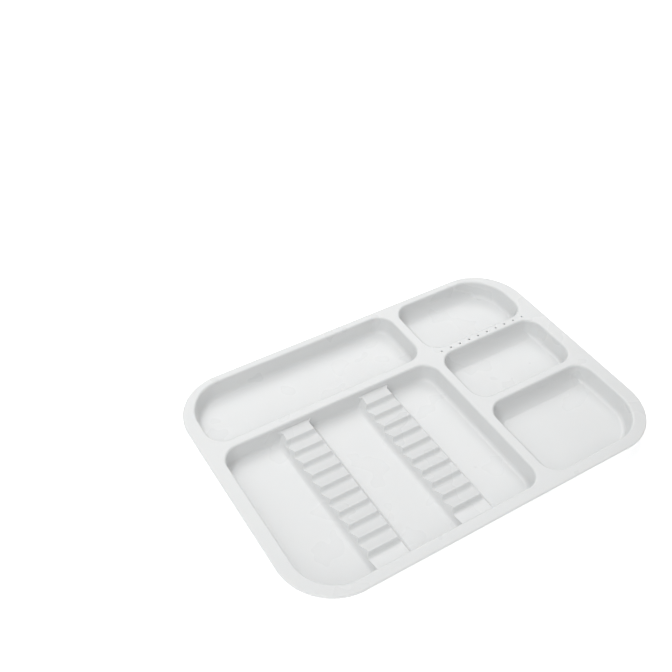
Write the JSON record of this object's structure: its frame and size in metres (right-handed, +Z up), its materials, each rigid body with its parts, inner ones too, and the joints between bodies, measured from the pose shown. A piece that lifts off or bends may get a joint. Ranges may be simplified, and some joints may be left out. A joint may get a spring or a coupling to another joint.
{
  "type": "divided instrument tray",
  "caption": "One-piece moulded tray with rounded corners, compartments, two stepped racks that hold instruments apart, and a row of small bur holes.",
  "frame": {"origin": "centre of the underside, on the plane the tray stands on", "axes": "+X along the long side, towards the three small compartments; +Y to the back, towards the long compartment; +Z up, out of the compartments"},
  "size_m": [0.34, 0.236, 0.018],
  "materials": {
    "tray": "smooth white moulded plastic with a soft gloss"
  },
  "bodies": {
    "root": {"tray": "tray"}
  },
  "joints": []
}
